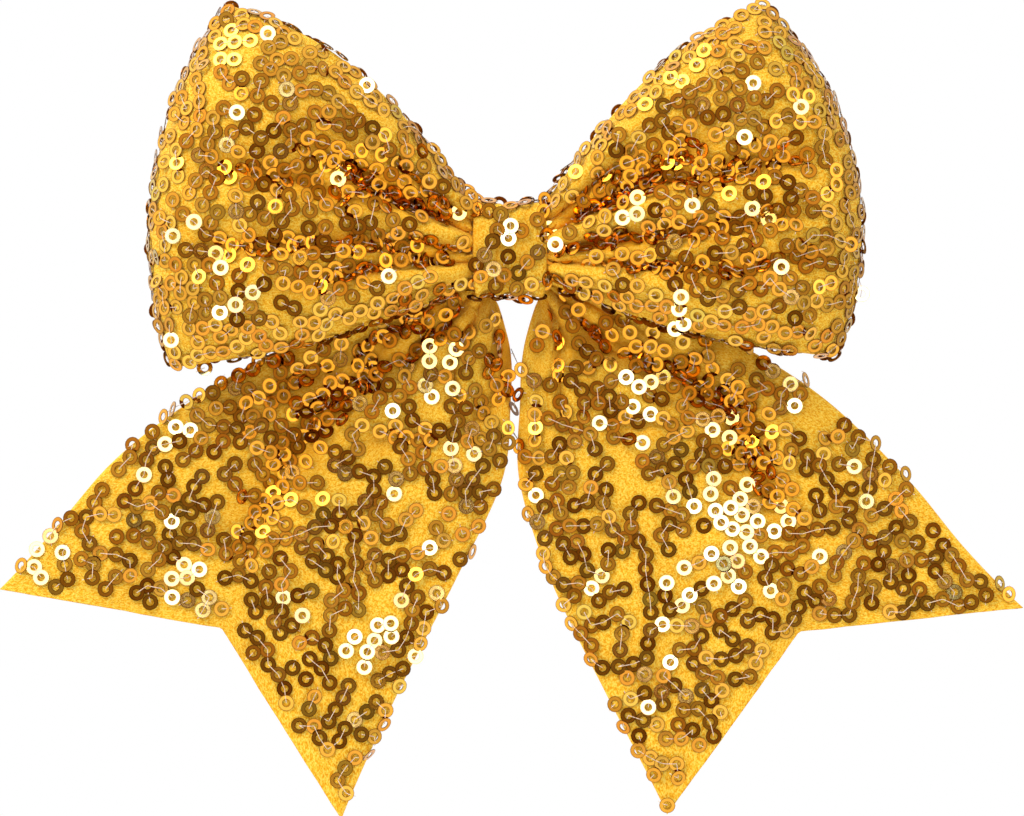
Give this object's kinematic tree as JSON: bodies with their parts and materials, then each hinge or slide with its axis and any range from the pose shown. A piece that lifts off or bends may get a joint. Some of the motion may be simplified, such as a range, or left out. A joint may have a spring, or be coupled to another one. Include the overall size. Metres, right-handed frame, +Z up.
{
  "type": "cheer hair bow",
  "caption": "Large sequinned hair bow with puffed loops and V-cut tails, bound by a centre band and glued to a toothed alligator clip.",
  "frame": {"origin": "middle of the clip's bite, where the lock of hair is held, behind the centre of the knot", "axes": "+Z up as the bow is worn upright, +X to the right as the front is seen, so -Y points out of the bow's front and +Y towards the head"},
  "size_m": [0.1916, 0.0376, 0.1529],
  "materials": {
    "sequin_cloth": "gold knit sewn over with small shiny gold sequins",
    "backing_ribbon": "matte ribbed grosgrain",
    "thread": "thin pale binding thread",
    "clip_steel": "bright nickel-plated stamped steel",
    "hot_glue": "cloudy set hot glue"
  },
  "bodies": {
    "bow": {"left_loop": "sequin_cloth", "left_loop_ribbon": "backing_ribbon", "right_loop": "sequin_cloth", "right_loop_ribbon": "backing_ribbon", "loops_gather": "sequin_cloth", "tails_gather": "sequin_cloth", "knot_band": "sequin_cloth", "binding_thread": "thread", "glue_pad": "hot_glue", "clip_bow_jaw": "clip_steel", "clip_pin": "clip_steel", "clip_spring": "clip_steel"},
    "tail_left": {"left_tail": "sequin_cloth", "left_tail_ribbon": "backing_ribbon"},
    "tail_right": {"right_tail": "sequin_cloth", "right_tail_ribbon": "backing_ribbon"},
    "head_jaw": {"clip_head_jaw": "clip_steel"}
  },
  "joints": [
    {"name": "left_tail_swing", "type": "hinge", "parent": "bow", "child": "tail_left", "pos_m": [-0.0053, -0.00375, -0.0067], "axis": [0.7071, 0, -0.7071], "range_deg": [-2, 15], "stiffness_Nm_per_rad": 0.01},
    {"name": "right_tail_swing", "type": "hinge", "parent": "bow", "child": "tail_right", "pos_m": [0.0053, -0.00375, -0.0067], "axis": [0.7071, 0, 0.7071], "range_deg": [-2, 15], "stiffness_Nm_per_rad": 0.01},
    {"name": "clip_open", "type": "hinge", "parent": "bow", "child": "head_jaw", "pos_m": [0.012, 0.0022, 0], "axis": [0, 0, -1], "range_deg": [0, 30], "stiffness_Nm_per_rad": 0.2, "springref_deg": -17.19, "deforming": ["clip_spring"]}
  ]
}
